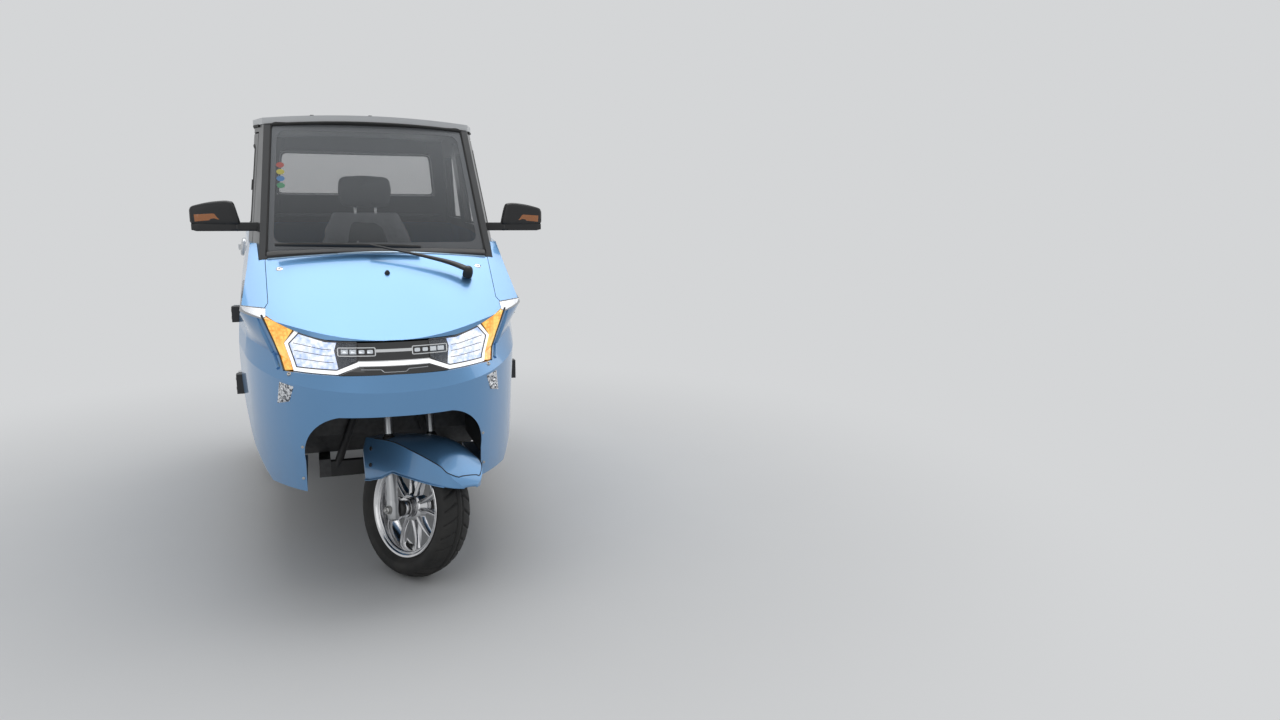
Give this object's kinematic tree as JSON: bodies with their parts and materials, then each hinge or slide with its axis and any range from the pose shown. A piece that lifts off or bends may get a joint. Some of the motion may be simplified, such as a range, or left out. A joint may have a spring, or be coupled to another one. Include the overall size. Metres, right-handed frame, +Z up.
{
  "type": "three-wheeled car",
  "caption": "Light closed cabin tricycle: one steered front wheel on a fork, driven rear wheels, two side doors, and a wrap-around lamp unit under a sloping hood.",
  "frame": {"origin": "on the ground under the centre of the vehicle's outer box", "axes": "+Z up, -Y towards the nose, +X towards the vehicle's left-hand side"},
  "size_m": [1.216, 2.2086, 1.574],
  "materials": {
    "body_paint": "metallic light blue, clear-coated",
    "roof_paint": "pale grey gloss",
    "silver_paint": "silver gloss",
    "black_steel": "black satin",
    "dark_plastic": "dark grey, fine grain",
    "gloss_black": "gloss black",
    "silver_trim": "bright silver",
    "window_glass": "clear, lightly tinted",
    "clear_lens": "clear",
    "white_lens": "milky white",
    "amber_lens": "amber, ribbed",
    "red_lens": "red, ribbed",
    "vinyl": "black vinyl",
    "cast_alloy": "polished casting",
    "tyre_rubber": "worn satin",
    "grip_rubber": "matt"
  },
  "bodies": {
    "body": {"front_shell": "body_paint", "hood": "body_paint", "rear_body": "body_paint", "roof": "roof_paint", "cabin_frame": "dark_plastic", "windshield": "window_glass", "rear_windows": "window_glass", "headlamps": "clear_lens", "indicators": "amber_lens", "light_strip": "white_lens", "lamp_bar": "gloss_black", "corner_lamps": "clear_lens", "accents": "silver_trim", "tail_lamps": "red_lens", "sills": "dark_plastic", "floor_pan": "black_steel", "wheel_liners": "dark_plastic", "frame": "black_steel", "frame_rails": "black_steel", "rear_axle": "black_steel", "battery": "dark_plastic", "seat_base": "black_steel", "seat_cushion": "vinyl", "seat_back": "vinyl", "dash": "dark_plastic", "mirrors": "dark_plastic", "wiper": "gloss_black", "hinges": "black_steel"},
    "door_left": {"door_shell_left": "body_paint", "door_frame_left": "dark_plastic", "door_glass_left": "window_glass", "door_hardware_left": "silver_trim"},
    "door_right": {"door_shell_right": "body_paint", "door_frame_right": "dark_plastic", "door_glass_right": "window_glass", "door_hardware_right": "silver_trim"},
    "steering": {"fork": "silver_paint", "front_fender": "body_paint", "handlebar": "black_steel", "grips": "grip_rubber"},
    "front_wheel": {"front_rim": "cast_alloy", "front_tyre": "tyre_rubber"},
    "rear_wheel_left": {"rear_rim_left": "cast_alloy", "rear_tyre_left": "tyre_rubber"},
    "rear_wheel_right": {"rear_rim_right": "cast_alloy", "rear_tyre_right": "tyre_rubber"}
  },
  "joints": [
    {"name": "steer", "type": "hinge", "parent": "body", "child": "steering", "pos_m": [0, -0.7737, 0.23871], "axis": [0, 0.2756, 0.9613], "range_deg": [-68, 2]},
    {"name": "front_wheel_spin", "type": "hinge", "parent": "steering", "child": "front_wheel", "pos_m": [0.05991, -0.87107, 0.23382], "axis": [0.8387, 0.5235, -0.1501], "continuous": true},
    {"name": "rear_wheel_left_spin", "type": "hinge", "parent": "body", "child": "rear_wheel_left", "pos_m": [0.436, 0.6883, 0.2365], "axis": [1, 0, 0], "continuous": true},
    {"name": "rear_wheel_right_spin", "type": "hinge", "parent": "body", "child": "rear_wheel_right", "pos_m": [-0.436, 0.6883, 0.2365], "axis": [1, 0, 0], "continuous": true},
    {"name": "door_left_hinge", "type": "hinge", "parent": "body", "child": "door_left", "pos_m": [0.494, -0.4317, 0.74], "axis": [0, 0, -1], "range_deg": [0, 65]},
    {"name": "door_right_hinge", "type": "hinge", "parent": "body", "child": "door_right", "pos_m": [-0.494, -0.4317, 0.74], "axis": [0, 0, 1], "range_deg": [0, 65]}
  ]
}
